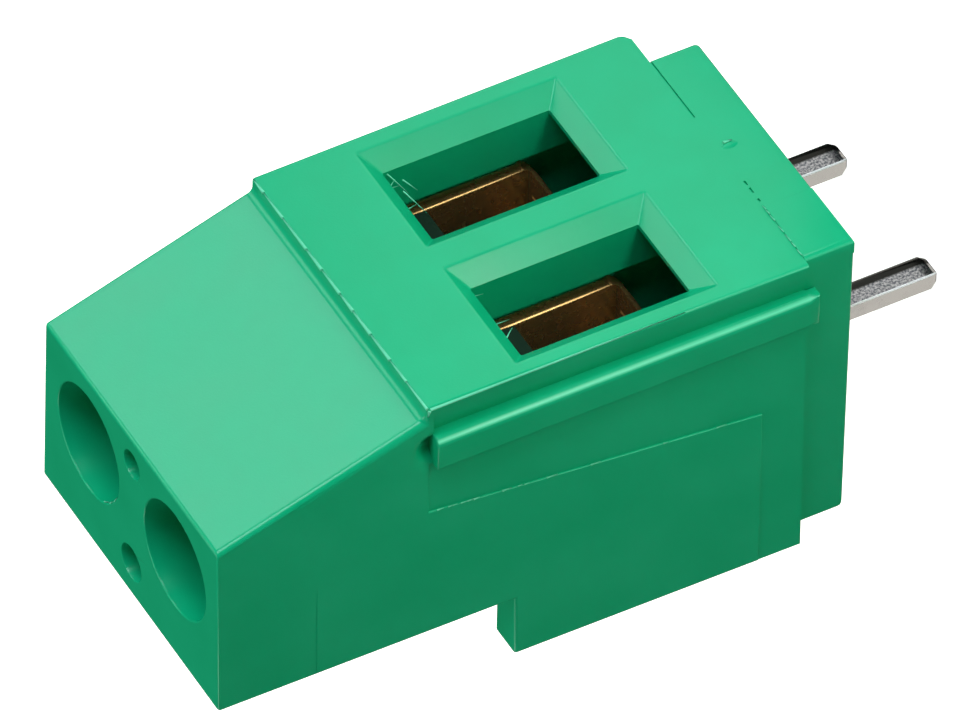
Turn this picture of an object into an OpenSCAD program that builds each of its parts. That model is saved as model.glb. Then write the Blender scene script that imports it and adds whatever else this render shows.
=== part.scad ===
// Two-pole board screw terminal with rising clamping sleeves.
// Z = 0 is the board surface, +Z runs up to the screw face, and the wires enter from -Y.
// X = 0, Y = 0 lies midway between the two solder pins, on the plane of the screw axes.

/* [Poles] */
// Distance between the two poles
pitch = 5.08; // [5:0.01:6.5]
// Running clearance between the moving metal parts and what they pass through
play = 0.05; // [0.03:0.01:0.09]

/* [Housing] */
// Height of the screw face above the board
face_h = 20.1; // [19.7:0.1:23]
// From the outer pole's axis to the side that carries the rib, at the screw face
near_side = 2.48; // [2.45:0.01:3.2]
// From the outer pole's axis to the opposite side, at the screw face
far_side = 2.58; // [2.55:0.01:3.2]
// From the screw axes forward to the wire entry plate
front_reach = 5.12; // [5:0.01:6]
// From the screw axes forward to the front edge of the screw face
face_front = 2.46; // [2.2:0.01:2.9]
// From the screw axes back to the rear wall
rear_reach = 3.71; // [3.6:0.01:4.5]
// Height at which the sloping face meets the wire entry plate
slope_foot_h = 13.6; // [13:0.1:14.5]
// How far the wire entry plate stands in front of the foot of the slope
plate_step = 0.48; // [0.2:0.01:0.7]
// Draft of the two sides along the depth, in degrees
draft_depth = 1.15; // [0:0.05:1.5]
// Draft of the two sides along the height, in degrees
draft_height = 0.55; // [0:0.05:0.8]

/* [Rear legs] */
// From the screw axes back to the rear edge of the legs
leg_reach = 5.93; // [5.4:0.01:7]
// Height of the shoulder on which the legs end
leg_top_h = 10.75; // [8:0.05:13]
// Wall of each leg
leg_wall = 0.86; // [0.7:0.01:1.5]

/* [Wire entries] */
// Clear width of a wire entry
entry_w = 2.92; // [2.5:0.01:3]
// Height of the lower edge of a wire entry
entry_low_h = 4.71; // [4.3:0.01:5]
// Height of the upper edge of a wire entry
entry_high_h = 10.06; // [9.6:0.01:10.4]
// Depth of the funnel round a wire entry
funnel_depth = 0.52; // [0.3:0.01:0.9]
// Spread of the funnel to each side
funnel_side = 0.62; // [0.3:0.01:0.8]
// Spread of the funnel upwards and downwards
funnel_end = 0.53; // [0.3:0.01:0.8]
// Thickness of the wall behind the wire entry plate
front_wall = 2.07; // [1.5:0.01:2.1]
// Thickness of the lip left under a wire entry, below which the wall is hollow
entry_lip = 0.15; // [0.1:0.01:0.4]

/* [Screw face] */
// Diameter of a driver hole
driver_d = 3.6; // [3.2:0.01:3.75]
// Chamfer at the mouth of a driver hole
driver_chamfer = 0.1; // [0.05:0.01:0.2]
// Diameter of the front cored hole
core_front_d = 0.9; // [0.6:0.01:1.1]
// Distance of the front cored hole in front of the screw axes
core_front_y = 1.47; // [1.2:0.01:1.6]
// Diameter of the rear cored hole
core_rear_d = 1.16; // [0.8:0.01:1.4]
// Distance of the rear cored hole behind the screw axes
core_rear_y = 2.47; // [2.2:0.01:2.7]
// Depth of both cored holes
core_depth = 3.5; // [2:0.1:5]

/* [Side face] */
// Distance from the wire entry plate back to the side rib
rib_back = 1.12; // [0.9:0.01:1.4]
// Width of the side rib
rib_w = 1.1; // [0.8:0.01:1.4]
// How far the rib stands out beyond the side at the screw face
rib_proud = 0.33; // [0.25:0.01:0.45]
// Gap left under the shoulder of the plate before the rib starts
rib_start = 0.22; // [0.05:0.01:0.5]
// Radius of the dimple in front of the rib's upper end
dimple_r = 0.65; // [0.5:0.01:0.75]
// Depth of the dimple
dimple_depth = 0.4; // [0.2:0.01:0.45]
// How far the rib runs down past the housing's lower edge, beside the base
rib_drop = 0.29; // [0.1:0.01:0.6]
// Lean of the groove wall between the plate and the rib, in degrees
groove_lean = 14; // [8:0.5:18]
// Depth of the shallow side recess
recess_depth = 0.06; // [0.04:0.01:0.22]
// How far the side recess starts above the rib's upper end
recess_lead = 0.12; // [0.05:0.01:0.3]
// Back edge of the side recess behind the plate, at its upper end
recess_back_top = 4.08; // [3:0.01:5]
// Back edge of the side recess behind the plate, at its lower end
recess_back_low = 5.2; // [4:0.01:7]
// Height of the plain strip across the foot of the side
recess_strip_h = 1.37; // [1:0.01:3]
// Height of the slightly thinner band under the screw face
top_band_h = 2.7; // [2:0.05:4]
// How much thinner the band is
top_band_step = 0.02; // [0.01:0.01:0.08]

/* [Base] */
// Height of the visible part of the base
base_h = 1.57; // [1.2:0.01:2]
// How far the base is set in from the ribbed side
base_near_inset = 0.09; // [0.05:0.01:0.3]
// How far the base is set in from the opposite side
base_far_inset = 1.17; // [0.6:0.01:1.2]
// How far the base is set in from the rear edge of the legs
base_rear_inset = 0.45; // [0.2:0.01:0.8]
// Radius of the lower rear edge of the base
base_edge_r = 0.2; // [0.1:0.05:0.8]
// How far the base's pad on the ribbed side stands in front of the wire entry plate
base_pad_proud = 0.04; // [0.02:0.01:0.1]
// Depth of the solder relief round each pin
relief_depth = 0.3; // [0.15:0.01:0.5]
// Play of the base plugs in the housing
plug_play = 0.04; // [0.02:0.01:0.08]

/* [Screw] */
// Diameter of the screw head
head_d = 3.95; // [3.85:0.01:4.05]
// Height of the screw head
head_h = 2.3; // [1.8:0.05:2.35]
// Thickness of the housing above the screw head
shoulder_depth = 3.85; // [3.2:0.05:4]
// Outer diameter of the thread
thread_d = 2.9; // [2.5:0.01:3]
// Width of the driver slot
slot_w = 0.8; // [0.6:0.05:1]
// Depth of the driver slot
slot_depth = 1.1; // [0.8:0.05:1.4]

/* [Clamping sleeve] */
// Outer width of the sleeve
sleeve_w = 3.9; // [3.85:0.01:3.95]
// Wall of the sleeve sides
sleeve_wall = 0.45; // [0.35:0.01:0.5]
// Floor of the sleeve
sleeve_floor = 0.35; // [0.3:0.01:0.5]
// Height of the clamping opening
sleeve_opening = 4.03; // [3.8:0.01:4.1]
// Thickness of the threaded top of the sleeve
sleeve_top = 1.17; // [1:0.01:1.2]
// Distance from the front of the housing back to the sleeve
sleeve_back = 2.6; // [2.2:0.01:2.7]
// Length of the sleeve along the wire
sleeve_len = 4.47; // [4.2:0.01:4.5]
// Outer radius of the bent lower edges of the sleeve
sleeve_r = 0.6; // [0.45:0.05:0.8]

/* [Contact] */
// Thickness of the contact strip and its pin
strip_t = 0.6; // [0.5:0.01:0.65]
// Width of the contact strip
strip_w = 2.7; // [2.2:0.01:2.75]
// Width of the solder pin
pin_w = 1; // [0.8:0.01:1.2]
// Length of the solder pin below the board surface
pin_len = 4; // [3:0.1:5]
// Length of the taper at the blunt pin tip
pin_taper = 0.22; // [0.1:0.01:0.6]
// How far the pin tip is set in from each face
pin_tip_inset = 0.12; // [0.05:0.01:0.2]
// Height of the contact bar's top above the board
bar_top_h = 9.28; // [9.1:0.01:9.4]
// Height of the foot that lies on the base plug
foot_h = 2.7; // [2.4:0.05:3]

/* [Hidden] */
$fn = 64;

green = [0.13, 0.68, 0.49];
steel = [0.72, 0.70, 0.66];
nickel = [0.66, 0.60, 0.48];
tin = [0.74, 0.73, 0.72];

over = 1;                                  // how far a cutter runs past the face that it opens
near_half = pitch / 2 + near_side;
far_half = pitch / 2 + far_side;
front_y = -front_reach;
plate_top_y = front_y + plate_step;        // foot of the slope, just behind the plate
core_wall_y = front_y + front_wall;        // inner face of the front wall
base_rear_y = leg_reach - base_rear_inset;
base_near_x = near_half - base_near_inset;
base_far_x = far_half - base_far_inset;

// The screw turns between the shoulder in the housing and the contact bar.
chamber_d = head_d + 3 * play;
shoulder_h = face_h - shoulder_depth;
head_top_h = shoulder_h - play;
head_low_h = head_top_h - head_h;
tip_h = bar_top_h + play;

// The sleeve at rest hangs at its lowest point, with the wire opening wide open.
sleeve_top_inner_h = bar_top_h + play;
sleeve_floor_inner_h = sleeve_top_inner_h - sleeve_opening;
sleeve_low_h = sleeve_floor_inner_h - sleeve_floor;
sleeve_high_h = sleeve_top_inner_h + sleeve_top;
grip_gap = 0.53;                           // left over the sleeve floor when it is fully raised
sleeve_travel = sleeve_opening - play - strip_t - grip_gap;
sleeve_front_y = front_y + sleeve_back;
sleeve_rear_y = sleeve_front_y + sleeve_len;
sleeve_inner_w = sleeve_w - 2 * sleeve_wall;
sleeve_inner_r = sleeve_r - sleeve_wall;
cavity_top_h = sleeve_high_h + sleeve_travel + 3 * play;
cavity_half = sleeve_w / 2 + play;

// The contact strip lies in the sleeve, drops down behind it and returns to the pin.
strip_gap = 0.2;                           // between the sleeve's rear end and the strip
bend_r = 0.3;                              // inner radius of the bends
leg_front_y = sleeve_rear_y + strip_gap;
leg_back_y = leg_front_y + strip_t;
foot_top_h = foot_h + strip_t;
bar_low_h = bar_top_h - strip_t;
bar_front_gap = 0.1;                       // the bar reaches this far in front of the sleeve

rib_x = near_half + rib_proud;
rib_front_y = front_y + rib_back;
rib_back_y = rib_front_y + rib_w;
rib_top_h = slope_foot_h - rib_start;
rib_low_h = base_h - rib_drop;
recess_top_h = rib_top_h + recess_lead;

// A profile in the YZ plane, extruded from x0 to x1.
module along_x(x0, x1, points) {
  translate([x0, 0, 0]) rotate([90, 0, 90]) linear_extrude(x1 - x0) polygon(points);
}

// A profile in the XZ plane, extruded from y0 to y1.
module along_y(y0, y1, points) {
  translate([0, y1, 0]) rotate([90, 0, 0]) linear_extrude(y1 - y0) polygon(points);
}

// A block given by its lowest and highest corners.
module block(low, high) {
  translate(low) cube(high - low);
}

// A pole's parts are modelled at X = 0 and moved to pole 1 (-X) or pole 2 (+X).
module at_pole(n) {
  translate([(n == 1 ? -1 : 1) * pitch / 2, 0, 0]) children();
}

// All that lies outside the drafted side on -X, moved inwards by an inset.
module outside_near(half, inset = 0) {
  reach = 4 * face_h;
  translate([inset - half, -face_front, face_h])
    rotate([0, draft_height, draft_depth])
      translate([-reach, -reach / 2, -reach / 2]) cube(reach);
}

// The same on +X.
module outside_far(half, inset = 0) {
  mirror([1, 0, 0]) outside_near(half, inset);
}

// Side view of the body: screw face, slope, step and wire entry plate.
module body_block() {
  side = near_half + far_half;
  along_x(-side, side, [
    [-face_front, face_h], [rear_reach, face_h], [rear_reach, base_h], [front_y, base_h],
    [front_y, slope_foot_h], [plate_top_y, slope_foot_h]
  ]);
}

// Two thin legs that carry the body back over the board.
module legs() {
  side = near_half + far_half;
  difference() {
    block([-side, rear_reach - leg_wall, base_h], [side, leg_reach, leg_top_h]);
    block([leg_wall - near_half, rear_reach - over, base_h - over],
          [far_half - leg_wall, leg_reach + over, leg_top_h + over]);
  }
}

// Guide rib on the near side, which slides into the groove of the next block.
module rib() {
  block([-rib_x, rib_front_y, base_h], [-near_half / 2, rib_back_y, rib_top_h]);
  block([-rib_x, rib_front_y, rib_low_h], [-base_near_x - play, rib_back_y, base_h + over]);
}

// Leaning groove between the plate and the rib.
module rib_groove() {
  reach = 2 * face_h;
  intersection() {
    translate([-near_half, front_y, face_h])
      rotate([0, draft_height, -groove_lean])
        translate([-reach, -reach / 2, -reach]) cube(reach);
    block([-reach, front_y - over, base_h - over], [0, rib_front_y, rib_top_h]);
  }
}

// Round dimple in front of the rib's upper end, where the groove runs out.
module rib_dimple() {
  intersection() {
    translate([-near_half - dimple_r + dimple_depth, (rib_front_y + rib_back_y) / 2, rib_top_h])
      sphere(r = dimple_r);
    block([-2 * near_half, plate_top_y, rib_top_h], [0, rear_reach, face_h]);
  }
}

// Shallow recess with a slanting back edge, and the strip across the foot of the side.
module side_recess() {
  strip_top_h = base_h + recess_strip_h;
  intersection() {
    outside_near(near_half, recess_depth);
    along_x(-2 * near_half, 0, [
      [rib_back_y, recess_top_h], [front_y + recess_back_top, recess_top_h],
      [front_y + recess_back_low, strip_top_h], [leg_reach + over, strip_top_h],
      [leg_reach + over, base_h - over], [rib_back_y, base_h - over]
    ]);
  }
}

// Band under the screw face that is a little thinner than the side below it.
module top_band() {
  intersection() {
    outside_near(near_half, top_band_step);
    block([-2 * near_half, -face_h, face_h - top_band_h], [0, face_h, face_h + over]);
  }
}

// Groove on the far side for the rib of the next block.
module mating_groove() {
  groove_play = 0.1;
  intersection() {
    outside_far(far_half, rib_proud);
    block([0, rib_front_y - groove_play, base_h - over],
          [2 * far_half, rib_back_y + groove_play, rib_top_h + groove_play]);
  }
}

// Wire entry with a funnel that spreads towards the front. Below its lip the wall is
// cored from the bottom.
module wire_entry() {
  half = entry_w / 2;
  funnel_y = front_y + funnel_depth;
  lip = over / funnel_depth;               // the funnel planes carry on past the plate
  block([-half, front_y, entry_low_h], [half, core_wall_y + over, entry_high_h]);
  block([-half, funnel_y + entry_lip, base_h - over], [half, core_wall_y + over, entry_low_h + over]);
  intersection() {
    along_x(-pitch, pitch, [
      [funnel_y, entry_low_h], [funnel_y, entry_high_h],
      [front_y - over, entry_high_h + funnel_end * (1 + lip)],
      [front_y - over, entry_low_h - funnel_end * (1 + lip)]
    ]);
    linear_extrude(face_h) polygon([
      [-half, funnel_y], [half, funnel_y],
      [half + funnel_side * (1 + lip), front_y - over],
      [-half - funnel_side * (1 + lip), front_y - over]
    ]);
  }
}

// Room for one sleeve, its contact and its screw, open at the bottom.
module pole_cavity() {
  block([-cavity_half, core_wall_y, base_h - over], [cavity_half, leg_back_y, cavity_top_h]);
  translate([0, 0, base_h - over]) cylinder(d = chamber_d, h = shoulder_h - base_h + over);
  translate([0, 0, shoulder_h - over]) cylinder(d = driver_d, h = shoulder_depth + 2 * over);
  translate([0, 0, face_h - driver_chamfer])
    cylinder(d1 = driver_d, d2 = driver_d + 4 * driver_chamfer, h = 2 * driver_chamfer);
}

// Cored holes between the poles.
module cored_holes() {
  translate([0, -core_front_y, face_h - core_depth])
    cylinder(d = core_front_d, h = core_depth + over);
  translate([0, core_rear_y, face_h - core_depth])
    cylinder(d = core_rear_d, h = core_depth + over);
}

module housing() {
  color(green) difference() {
    union() {
      difference() {
        union() {
          body_block();
          legs();
        }
        outside_near(near_half);
        outside_far(far_half);
        top_band();
        rib_groove();
        rib_dimple();
        side_recess();
        mating_groove();
      }
      rib();
    }
    for (n = [1, 2]) at_pole(n) {
      pole_cavity();
      wire_entry();
    }
    cored_holes();
  }
}

// Side view of the base plate, with its lower rear edge rounded.
module base_profile() {
  centre_y = base_rear_y - base_edge_r;
  difference() {
    translate([front_y, 0]) square([base_rear_y - front_y, base_h]);
    translate([centre_y, -over]) square([base_edge_r + over, base_edge_r + over]);
  }
  translate([centre_y, base_edge_r]) circle(r = base_edge_r);
}

// Plug that closes one pole's cavity and carries the contact's foot.
module base_plug() {
  half = cavity_half - plug_play;
  block([-half, core_wall_y + plug_play, base_h - over], [half, leg_back_y - plug_play, foot_h]);
}

// Opening for the pin, and the solder relief round it.
module pin_slot() {
  half_w = pin_w / 2 + play;
  half_t = strip_t / 2 + play;
  relief = 0.6;
  block([-half_w, -half_t, -over], [half_w, half_t, foot_h + over]);
  block([-half_w - relief, -half_t - relief, -over],
        [half_w + relief, half_t + relief, relief_depth]);
}

// Shadow line along the joint between the base and the wire entry plate.
module joint_notch(x0, x1) {
  notch = 0.1;
  block([x0, front_y - over, base_h - notch], [x1, front_y + 2 * notch, base_h + notch]);
}

// Small latch nose on the front of the base.
module latch_nose() {
  nose_r = 0.2;
  nose_h = 0.55;
  nose_proud = 0.06;
  translate([0, front_y + nose_r - nose_proud, base_h - nose_h - nose_proud])
    cylinder(r = nose_r, h = nose_h);
}

// Pad on the front of the base, under the pole beside the rib.
module base_pad() {
  block([-base_near_x, front_y - base_pad_proud, 0], [-pitch / 2, front_y + play, base_h]);
}

module base() {
  notch_from = 1.4;                        // the joint is open outside the latch tongue
  notch_to = 2.3;
  color(green) difference() {
    union() {
      translate([-base_near_x, 0, 0]) rotate([90, 0, 90])
        linear_extrude(base_near_x + base_far_x) base_profile();
      for (n = [1, 2]) at_pole(n) base_plug();
      latch_nose();
      base_pad();
    }
    for (n = [1, 2]) at_pole(n) pin_slot();
    joint_notch(notch_from, base_far_x + over);
    joint_notch(-notch_to, -notch_from);
  }
}

// Slotted cheese-head screw. Its thread is drawn at its outer diameter.
module screw() {
  tip_chamfer = 0.3;
  head_chamfer = 0.2;
  color(steel) difference() {
    rotate_extrude() polygon([
      [0, tip_h], [thread_d / 2 - tip_chamfer, tip_h], [thread_d / 2, tip_h + tip_chamfer],
      [thread_d / 2, head_low_h], [head_d / 2, head_low_h],
      [head_d / 2, head_top_h - head_chamfer], [head_d / 2 - head_chamfer, head_top_h],
      [0, head_top_h]
    ]);
    block([-slot_w / 2, -head_d, head_top_h - slot_depth], [slot_w / 2, head_d, head_top_h + over]);
  }
}

// A rectangle whose two lower corners are round.
module round_floor(width, low, high, radius) {
  half = width / 2;
  translate([-half, low + radius]) square([width, high - low - radius]);
  translate([-half + radius, low]) square([width - 2 * radius, radius + play]);
  for (side = [-1, 1]) translate([side * (half - radius), low + radius]) circle(r = radius);
}

// Box-shaped sleeve, bent from strip, with a thick threaded top.
module sleeve() {
  color(nickel) difference() {
    translate([0, sleeve_rear_y, 0]) rotate([90, 0, 0]) linear_extrude(sleeve_len) difference() {
      round_floor(sleeve_w, sleeve_low_h, sleeve_high_h, sleeve_r);
      round_floor(sleeve_inner_w, sleeve_floor_inner_h, sleeve_top_inner_h, sleeve_inner_r);
    }
    translate([0, 0, sleeve_top_inner_h - over])
      cylinder(d = thread_d + 2 * play, h = sleeve_top + 2 * over);
  }
}

// Quarter bend of the strip about an X axis, between two turning angles.
module bend(y, z, from) {
  translate([-strip_w / 2, y, z]) rotate([90, 0, 90]) rotate([0, 0, from])
    linear_extrude(strip_w) intersection() {
      difference() {
        circle(r = bend_r + strip_t);
        circle(r = bend_r);
      }
      square(bend_r + 2 * strip_t);
    }
}

// One strip: bar, drop behind the sleeve, foot and solder pin.
module contact() {
  half = strip_w / 2;
  bar_front_y = sleeve_front_y - bar_front_gap;
  top_bend_y = leg_front_y - bend_r;
  foot_bend_h = foot_top_h + bend_r;
  pin_half = strip_t / 2;
  tip_half_w = pin_w / 2 - pin_tip_inset;
  tip_half_t = strip_t / 2 - pin_tip_inset;
  color(tin) {
    block([-half, bar_front_y, bar_low_h], [half, top_bend_y, bar_top_h]);
    bend(top_bend_y, bar_low_h - bend_r, 0);
    block([-half, leg_front_y, foot_bend_h], [half, leg_back_y, bar_low_h - bend_r]);
    bend(top_bend_y, foot_bend_h, -90);
    block([-half, -pin_half, foot_h], [half, top_bend_y, foot_top_h]);
    block([-pin_w / 2, -pin_half, pin_taper - pin_len], [pin_w / 2, pin_half, foot_top_h]);
    intersection() {
      along_x(-pin_w / 2, pin_w / 2, [
        [-pin_half, pin_taper - pin_len], [pin_half, pin_taper - pin_len],
        [tip_half_t, -pin_len], [-tip_half_t, -pin_len]
      ]);
      along_y(-pin_half, pin_half, [
        [-pin_w / 2, pin_taper - pin_len], [pin_w / 2, pin_taper - pin_len],
        [tip_half_w, -pin_len], [-tip_half_w, -pin_len]
      ]);
    }
  }
}

housing();
base();
at_pole(1) screw();  // screw_1
at_pole(2) screw();  // screw_2
at_pole(1) sleeve();  // sleeve_1
at_pole(2) sleeve();  // sleeve_2
at_pole(1) contact();  // contact_1
at_pole(2) contact();  // contact_2
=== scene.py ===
import math
import random

import bmesh
import bpy
from mathutils import Matrix, Vector


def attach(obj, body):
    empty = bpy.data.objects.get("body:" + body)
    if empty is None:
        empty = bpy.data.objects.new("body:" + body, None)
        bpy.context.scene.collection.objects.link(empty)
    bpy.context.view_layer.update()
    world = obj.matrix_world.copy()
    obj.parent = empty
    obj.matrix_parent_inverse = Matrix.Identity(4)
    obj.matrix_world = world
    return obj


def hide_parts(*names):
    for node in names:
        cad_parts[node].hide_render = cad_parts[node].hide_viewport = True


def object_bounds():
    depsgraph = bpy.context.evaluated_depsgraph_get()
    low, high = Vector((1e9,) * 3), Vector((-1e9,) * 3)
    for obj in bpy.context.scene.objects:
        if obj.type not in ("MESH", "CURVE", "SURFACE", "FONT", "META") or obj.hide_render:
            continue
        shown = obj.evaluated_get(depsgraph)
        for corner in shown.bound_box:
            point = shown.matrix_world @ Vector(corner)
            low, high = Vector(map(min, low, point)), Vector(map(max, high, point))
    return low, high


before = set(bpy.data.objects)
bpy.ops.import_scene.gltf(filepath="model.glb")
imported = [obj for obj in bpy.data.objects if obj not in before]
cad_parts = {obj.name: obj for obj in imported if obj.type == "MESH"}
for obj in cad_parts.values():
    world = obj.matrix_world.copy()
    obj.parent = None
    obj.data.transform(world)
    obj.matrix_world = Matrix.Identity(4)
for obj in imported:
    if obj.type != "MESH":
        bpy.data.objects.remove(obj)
cad_low, cad_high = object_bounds()

# Pieces are modelled in millimetres and brought to metres when they are finished.
# Floor cards are laid out in millimetres too, and the other lamps in metres.
# Z runs from the board up to the screw face, the wires enter at the front (-Y), and X = 0
# lies midway between the poles.
MM = 0.001
PITCH = 5.08
POLES = {"1": -PITCH / 2, "2": PITCH / 2}

JOINT_Z = 1.57  # where the housing stands on the base
STEP_Z = 13.6  # end of the entry plate, where the slope begins
FACE_Z = 20.1  # screw face
PLATE_Y = -5.12  # entry plate
SLOPE_FOOT_Y = -4.64
SLOPE_TOP_Y = -2.46
REAR_Y = 3.71
LEG_REACH = 2.22  # how far the two rear legs stand out behind the rear face
LEG_TOP_Z = 10.75
NEAR_LEG_X = -4.16  # inner faces of the legs
FAR_LEG_X = 4.26

RIB_END_Z = 13.38
RIB_FRONT_Y = -4.0
RIB_BACK_Y = -2.9
DIMPLE_Y = -3.5
RECESS_END_Z = 13.5
RECESS_FOOT_Z = 2.94
RECESS_FOOT_Y = 0.08  # back edge of the recess at its foot; it slants forward from there
RECESS_SLANT = 1.12
CORE_FLOOR_Z = 16.6  # two round cores in the screw face, in front and behind
FRONT_CORE_Y = -1.47
REAR_CORE_Y = 2.47
WINDOW_HALF = 1.46
WINDOW_FOOT_Z = 4.71
WINDOW_END_Z = 10.06
FUNNEL_HALF = 2.70  # half the funnel's width and height, a little in front of the plate
FUNNEL_HALF_HEIGHT = 3.735
DRIVER_HOLE_RADIUS = 1.8
ROOM_HALF = 2.0  # room for one sleeve, cored from below
ROOM_FRONT_Y = -3.05
ROOM_REAR_Y = 2.75
BELOW_FOOT_Z = 0.4  # where cutters start, clear of the housing's foot

BASE_NEAR_X = -4.93
BASE_FAR_X = 3.95
BASE_REAR_Y = 5.48
PLUG_FIT = 0.04  # how much smaller the plug is than the room it closes, all round
PLUG_TOP_Z = 2.7
PIN_HALF_X = 0.5
PIN_HALF_Y = 0.3
PIN_FIT = 0.05
PIN_TIP_Z = -4
PAD_Y = -5.16

HEAD_RADIUS = 1.975
HEAD_FOOT_Z = 13.9
HEAD_TOP_Z = 16.2
SHANK_RADIUS = 1.2
SHANK_END_Z = 9.33
SLOT_HALF = 0.4

SLEEVE_HALF = 1.95
SLEEVE_FRONT_Y = -2.52
SLEEVE_REAR_Y = 1.95
SLEEVE_FLOOR_Z = 5.3

STRIP_HALF = 1.35
STRIP_THICKNESS = 0.6
BAR_TOP_Z = 9.28
BAR_END_Y = 1.85  # where the strip begins to bend down
BEND_RADIUS = 0.3
LOWER_BEND_Z = 3.6  # where the strip bends back under the sleeve


def side_normal(turn):
    """Normal of a near side that is turned about Z and leans out towards the board."""
    draft = Matrix.Rotation(math.radians(0.55), 3, "Y")
    return Matrix.Rotation(math.radians(turn), 3, "Z") @ draft @ Vector((1, 0, 0))


# The two sides are drafted: each plane leans out towards the rear and towards the board.
NEAR_CORNER = (-5.02, SLOPE_TOP_Y, FACE_Z)
FAR_CORNER = (5.12, SLOPE_TOP_Y, FACE_Z)
NEAR_PLANE = side_normal(1.15)
FAR_PLANE = Vector((-NEAR_PLANE.x, NEAR_PLANE.y, NEAR_PLANE.z))


# ---------------------------------------------------------------- hand tools

def deselect_all():
    if bpy.context.mode != "OBJECT":
        bpy.ops.object.mode_set(mode="OBJECT")
    bpy.ops.object.select_all(action="DESELECT")


def make_active(piece):
    deselect_all()
    piece.select_set(True)
    bpy.context.view_layer.objects.active = piece


def open_mesh(piece, mode):
    make_active(piece)
    bpy.ops.object.mode_set(mode="EDIT")
    bpy.ops.mesh.select_mode(type=mode)
    bpy.ops.mesh.select_all(action="DESELECT")
    return bmesh.from_edit_mesh(piece.data)


def close_mesh():
    bpy.ops.object.mode_set(mode="OBJECT")


def pick_faces(piece, test):
    """Opens the piece and selects the faces whose centre and normal pass the test."""
    mesh = open_mesh(piece, "FACE")
    for face in mesh.faces:
        face.select_set(bool(test(face.calc_center_median(), face.normal)))
    mesh.select_flush_mode()
    bmesh.update_edit_mesh(piece.data)


def pick_edges(piece, test, sharper_than=20):
    """Opens the piece and selects the sharp edges whose two ends pass the test."""
    mesh = open_mesh(piece, "EDGE")
    limit = math.radians(sharper_than)
    for edge in mesh.edges:
        sharp = len(edge.link_faces) == 2 and edge.calc_face_angle() > limit
        edge.select_set(bool(sharp and test(*(v.co for v in edge.verts))))
    bmesh.update_edit_mesh(piece.data)


def add_block(name, low, high):
    low, high = Vector(low), Vector(high)
    deselect_all()
    bpy.ops.mesh.primitive_cube_add(size=1, location=(low + high) / 2)
    block = bpy.context.object
    block.name = name
    block.scale = high - low
    bpy.ops.object.transform_apply(location=True, rotation=True, scale=True)
    return block


def add_rod(name, radius, foot, length, sides=96, turn=(0, 0, 0)):
    """A rod that stands on its foot, or is turned about it."""
    deselect_all()
    bpy.ops.mesh.primitive_cylinder_add(
        vertices=sides, radius=radius, depth=length, location=(0, 0, length / 2))
    rod = bpy.context.object
    rod.name = name
    bpy.ops.object.transform_apply(location=True, rotation=True, scale=True)
    rod.rotation_euler = [math.radians(angle) for angle in turn]
    rod.location = foot
    bpy.ops.object.transform_apply(location=True, rotation=True, scale=True)
    return rod


def slice_off(piece, point, inward):
    """Cuts away all that lies behind a plane whose normal points into the piece."""
    make_active(piece)
    bpy.ops.object.mode_set(mode="EDIT")
    bpy.ops.mesh.select_all(action="SELECT")
    bpy.ops.mesh.bisect(plane_co=point, plane_no=Vector(inward).normalized(), use_fill=True,
                        clear_inner=True, clear_outer=False, threshold=1e-5)
    close_mesh()


def score(piece, point, normal):
    """Adds an edge loop where a plane meets the piece."""
    make_active(piece)
    bpy.ops.object.mode_set(mode="EDIT")
    bpy.ops.mesh.select_all(action="SELECT")
    bpy.ops.mesh.bisect(plane_co=point, plane_no=Vector(normal).normalized(), threshold=1e-5)
    close_mesh()


def tidy_flats(piece):
    """Dissolves the edges inside flat faces."""
    make_active(piece)
    bpy.ops.object.mode_set(mode="EDIT")
    bpy.ops.mesh.select_all(action="SELECT")
    bpy.ops.mesh.remove_doubles(threshold=1e-4)
    bpy.ops.mesh.dissolve_limited(angle_limit=math.radians(0.3))
    close_mesh()


def soften(piece, radius, test, segments=3, sharper_than=20):
    """Rounds the sharp edges that pass the test."""
    pick_edges(piece, test, sharper_than)
    bpy.ops.mesh.bevel(offset_type="OFFSET", offset=radius, segments=segments,
                       profile=0.5, affect="EDGES", clamp_overlap=False)
    close_mesh()


def soften_by_weight(piece, width, segments, *picks):
    """Rounds several sets of edges in one go, each to its own share of the width."""
    for share, test in picks:
        pick_edges(piece, test)
        bpy.ops.transform.edge_bevelweight(value=share)
        close_mesh()
    make_active(piece)
    rounding = piece.modifiers.new("rounding", "BEVEL")
    rounding.limit_method = "WEIGHT"
    rounding.width = width
    rounding.segments = segments
    rounding.use_clamp_overlap = False
    bpy.ops.object.modifier_apply(modifier=rounding.name)


def combine(piece, tools, operation):
    for tool in tools:
        make_active(piece)
        step = piece.modifiers.new(tool.name, "BOOLEAN")
        step.operation = operation
        step.solver = "EXACT"
        step.object = tool
        bpy.ops.object.modifier_apply(modifier=step.name)
        bpy.data.objects.remove(tool, do_unlink=True)


def carve(piece, *tools):
    combine(piece, tools, "DIFFERENCE")


def weld_on(piece, *parts):
    combine(piece, parts, "UNION")


def copy_of(piece, shift):
    """A copy with its own mesh, moved aside."""
    make_active(piece)
    bpy.ops.object.duplicate(linked=False)
    twin = bpy.context.object
    twin.location = shift
    bpy.ops.object.transform_apply(location=True, rotation=False, scale=False)
    return twin


def finish_piece(piece, name, material, body, node=None):
    """Brings a piece to metres, smooths it and hands it to the body it belongs to."""
    make_active(piece)
    piece.name = name
    piece.scale = (MM, MM, MM)
    bpy.ops.object.transform_apply(location=True, rotation=True, scale=True)
    bpy.ops.object.shade_smooth_by_angle(angle=math.radians(40))
    weigh = piece.modifiers.new("even_shading", "WEIGHTED_NORMAL")
    weigh.keep_sharp = True
    bpy.ops.object.modifier_apply(modifier=weigh.name)
    piece.data.materials.clear()
    piece.data.materials.append(material)
    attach(piece, body)
    if node:
        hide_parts(node)


# ---------------------------------------------------------------- studio

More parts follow.
